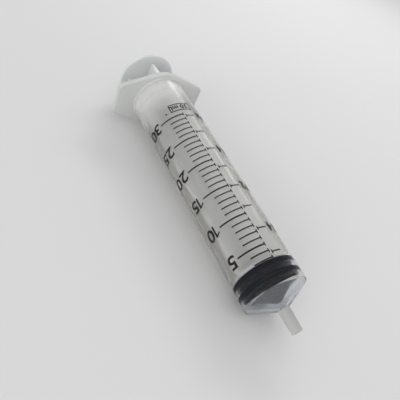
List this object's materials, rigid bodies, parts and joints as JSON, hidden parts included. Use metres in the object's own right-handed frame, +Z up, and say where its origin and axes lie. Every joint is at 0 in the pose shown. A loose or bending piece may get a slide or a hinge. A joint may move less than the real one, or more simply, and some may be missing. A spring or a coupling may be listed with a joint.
{
  "type": "slip-tip syringe",
  "caption": "Translucent plastic slip-tip syringe with finger flange, printed millilitre and ounce scale, black rubber stopper and sliding ribbed plunger.",
  "frame": {"origin": "Centre of the open end of the slip tip, on the barrel's axis.", "axes": "+X along the axis from the tip to the thumb disc, +Z up as it lies on its flange, +Y along a wing of the finger flange."},
  "size_m": [0.1339, 0.0418, 0.0282],
  "materials": {
    "barrel_plastic": "translucent, glossy",
    "rod_plastic": "translucent, satin",
    "rubber": "matt, slightly oiled",
    "ink": "printed"
  },
  "bodies": {
    "barrel": {"barrel": "barrel_plastic", "printed_scale": "ink"},
    "stopper": {"stopper": "rubber"},
    "plunger": {"plunger_rod": "rod_plastic"}
  },
  "joints": [
    {"name": "plunger_slide", "type": "slide", "parent": "barrel", "child": "stopper", "axis": [1, 0, 0], "range_m": [-0.0015, 0.0905]},
    {"name": "rod_turn", "type": "hinge", "parent": "stopper", "child": "plunger", "pos_m": [0.0201, 0, 0], "axis": [1, 0, 0], "continuous": true}
  ]
}
